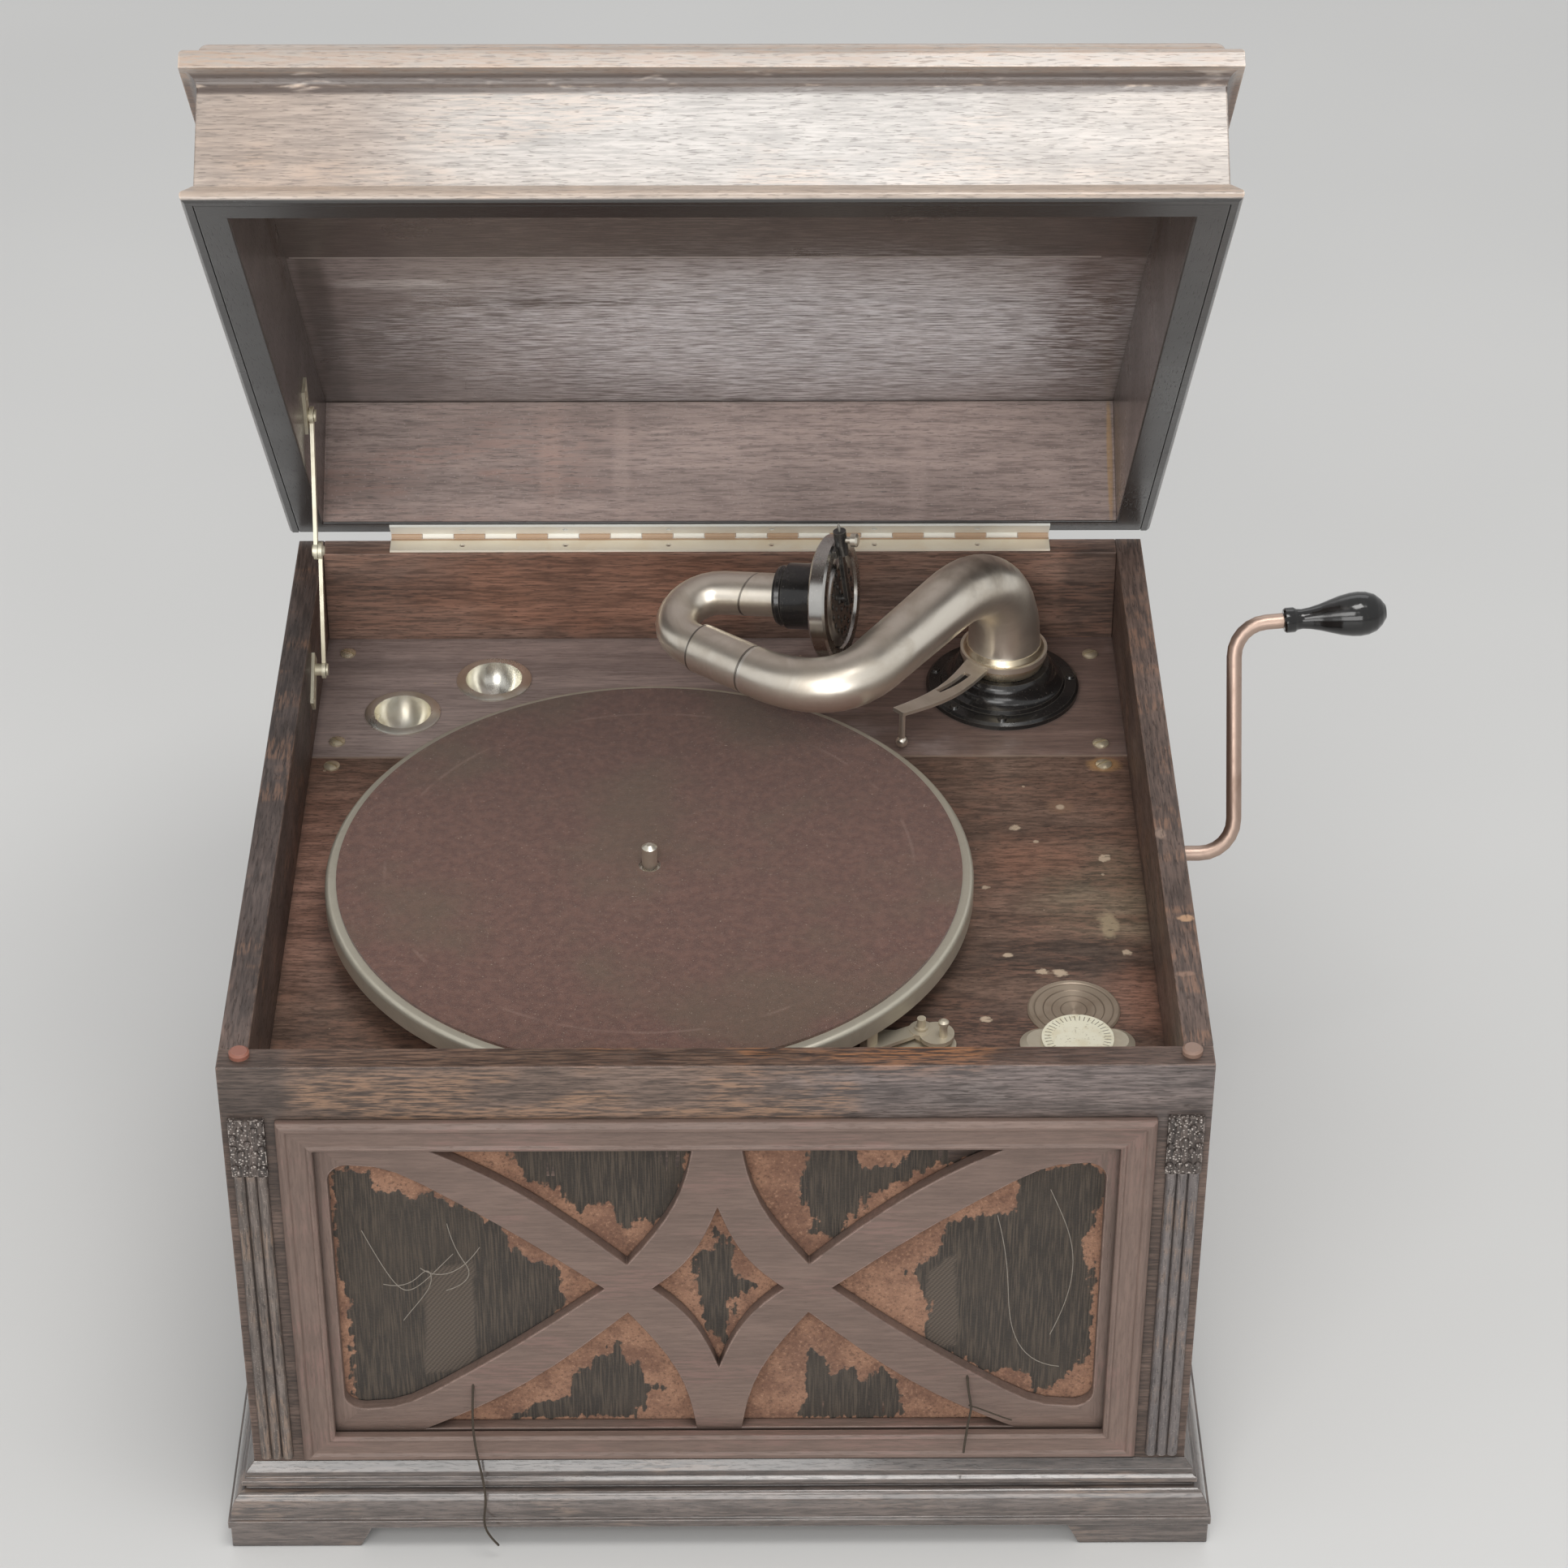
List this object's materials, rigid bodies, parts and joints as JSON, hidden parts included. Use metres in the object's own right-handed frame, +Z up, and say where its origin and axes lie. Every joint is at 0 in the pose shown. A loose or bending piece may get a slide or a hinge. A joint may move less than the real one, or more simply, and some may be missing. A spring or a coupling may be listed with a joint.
{
  "type": "wind-up gramophone",
  "caption": "Table-top wind-up gramophone: oak case with an internal horn behind a fretted grille, lift-up lid on a stay, turntable, swan-neck tone arm, sound box and side crank.",
  "frame": {"origin": "on the floor under the middle of the box round the whole object, lid open and crank at rest", "axes": "+Z up along the turntable's spindle, +X to the right towards the crank, the fretted front faces -Y"},
  "size_m": [0.555, 0.4916, 0.6569],
  "materials": {
    "case_oak": "dark stained oak, worn, satin varnish",
    "lid_oak": "faded stained oak, satin varnish",
    "fret_wood": "dull red-brown stained wood",
    "deck_wood": "red-brown stained board, worn",
    "inner_wood": "bare wood",
    "cloth": "worn woven cloth",
    "felt": "maroon-brown felt",
    "nickel": "worn satin nickel plate",
    "bright_nickel": "bright nickel plate",
    "black_enamel": "gloss black enamel",
    "hinge_brass": "tarnished nickel on brass",
    "gear_brass": "machined brass",
    "steel": "machined steel",
    "crank_steel": "worn copper-brown plating",
    "grip_black": "gloss black turned wood",
    "buffer_rubber": "red rubber",
    "dial_enamel": "cream enamel",
    "mica": "amber mica disc"
  },
  "bodies": {
    "case": {"back_panel": "case_oak", "left_side": "case_oak", "right_side": "case_oak", "front_panel": "case_oak", "bottom_board": "inner_wood", "plinth": "case_oak", "feet": "case_oak", "grille_frame": "fret_wood", "fretwork": "fret_wood", "grille_cloth": "cloth", "reeded_stiles": "case_oak", "carved_blocks": "case_oak", "front_deck": "deck_wood", "rear_deck": "deck_wood", "deck_ledges": "inner_wood", "deck_screws": "bright_nickel", "lid_buffers": "buffer_rubber", "needle_cups": "bright_nickel", "horn": "inner_wood", "throat_elbow": "steel", "crank_bush": "bright_nickel", "hinge_case_leaf": "hinge_brass", "stay_case_bracket": "bright_nickel", "tone_arm_base": "black_enamel", "brake_plate": "bright_nickel", "speed_dish": "bright_nickel", "motor_frame": "steel", "motor_bolts": "bright_nickel"},
    "lid": {"lid_walls": "lid_oak", "lid_top": "lid_oak", "lid_mouldings": "lid_oak", "hinge_lid_leaf": "hinge_brass", "stay_lid_bracket": "bright_nickel"},
    "stay_upper": {"stay_upper_arm": "bright_nickel"},
    "stay_lower": {"stay_lower_arm": "bright_nickel"},
    "platter": {"turntable": "nickel", "turntable_felt": "felt", "spindle": "steel"},
    "arm": {"tone_arm_collar": "nickel", "tone_arm_tube": "nickel", "arm_lever": "nickel"},
    "swan": {"gooseneck": "nickel", "soundbox_mount": "black_enamel", "soundbox_case": "bright_nickel", "soundbox_diaphragm": "mica", "soundbox_grille": "black_enamel", "needle_bar": "bright_nickel", "needle": "steel"},
    "needle_clamp": {"needle_screw": "bright_nickel"},
    "brake": {"brake_lever": "bright_nickel"},
    "regulator": {"speed_knob": "bright_nickel", "speed_dial": "dial_enamel"},
    "crank": {"crank_rod": "crank_steel"},
    "grip": {"crank_grip": "grip_black"},
    "winding_arbor": {"winding_wheel": "gear_brass"},
    "barrel": {"spring_barrel": "steel", "mainspring": "steel"},
    "transfer": {"transfer_wheel": "gear_brass"},
    "governor": {"governor": "gear_brass", "governor_weights": "steel"}
  },
  "joints": [
    {"name": "lid_hinge", "type": "hinge", "parent": "case", "child": "lid", "pos_m": [-0.04951, 0.1898, 0.2805], "axis": [1, 0, 0], "range_deg": [0, 51]},
    {"name": "stay_lower_pivot", "type": "hinge", "parent": "case", "child": "stay_lower", "pos_m": [-0.24661, 0.0989, 0.26], "axis": [1, 0, 0], "range_deg": [-35.53, 0]},
    {"name": "stay_upper_pivot", "type": "hinge", "parent": "lid", "child": "stay_upper", "pos_m": [-0.24871, 0.14234, 0.38027], "axis": [1, 0, 0], "range_deg": [0, 48.59]},
    {"name": "platter_spin", "type": "hinge", "parent": "case", "child": "platter", "pos_m": [-0.08151, -0.0568, 0.255], "axis": [0, 0, 1], "continuous": true},
    {"name": "transfer_spin", "type": "hinge", "parent": "case", "child": "transfer", "pos_m": [-0.03743, -0.02711, 0.131], "axis": [0, 0, 1], "continuous": true},
    {"name": "barrel_spin", "type": "hinge", "parent": "case", "child": "barrel", "pos_m": [-0.00451, 0.0262, 0.131], "axis": [0, 0, 1], "continuous": true},
    {"name": "governor_spin", "type": "hinge", "parent": "case", "child": "governor", "pos_m": [-0.08151, -0.08152, 0.195], "axis": [1, 0, 0], "continuous": true},
    {"name": "crank_turn", "type": "hinge", "parent": "case", "child": "crank", "pos_m": [0.20299, 0.0262, 0.199], "axis": [1, 0, 0], "continuous": true},
    {"name": "winding_turn", "type": "hinge", "parent": "case", "child": "winding_arbor", "pos_m": [-0.00451, 0.0262, 0.212], "axis": [0, 0, 1], "continuous": true},
    {"name": "grip_spin", "type": "hinge", "parent": "crank", "child": "grip", "pos_m": [0.23287, 0.08862, 0.29512], "axis": [0.9962, 0.0475, 0.0731], "continuous": true},
    {"name": "arm_swing", "type": "hinge", "parent": "case", "child": "arm", "pos_m": [0.09349, 0.1302, 0.243], "axis": [0, 0, 1], "range_deg": [-8, 42]},
    {"name": "gooseneck_turn", "type": "hinge", "parent": "arm", "child": "swan", "pos_m": [-0.03401, 0.058, 0.287], "axis": [0.7679, -0.6398, 0.0314], "range_deg": [0, 155]},
    {"name": "needle_screw_turn", "type": "hinge", "parent": "swan", "child": "needle_clamp", "pos_m": [0.01164, 0.09529, 0.33769], "axis": [0.9483, -0.2875, 0.1344], "continuous": true},
    {"name": "brake_swing", "type": "hinge", "parent": "case", "child": "brake", "pos_m": [0.0425, -0.15112, 0.231], "axis": [0, 0, -1], "range_deg": [0, 12]},
    {"name": "speed_turn", "type": "hinge", "parent": "case", "child": "regulator", "pos_m": [0.11249, -0.1618, 0.232], "axis": [0, 0, 1], "range_deg": [-60, 60]}
  ],
  "couplings": [
    {"joint": "stay_lower_pivot", "follows": "lid_hinge", "ratio": -0.69646},
    {"joint": "stay_upper_pivot", "follows": "lid_hinge", "ratio": 0.95246},
    {"joint": "transfer_spin", "follows": "platter_spin", "ratio": -0.17778},
    {"joint": "barrel_spin", "follows": "platter_spin", "ratio": 0.024242},
    {"joint": "governor_spin", "follows": "platter_spin", "ratio": 12},
    {"joint": "winding_turn", "follows": "crank_turn", "ratio": 0.25}
  ]
}
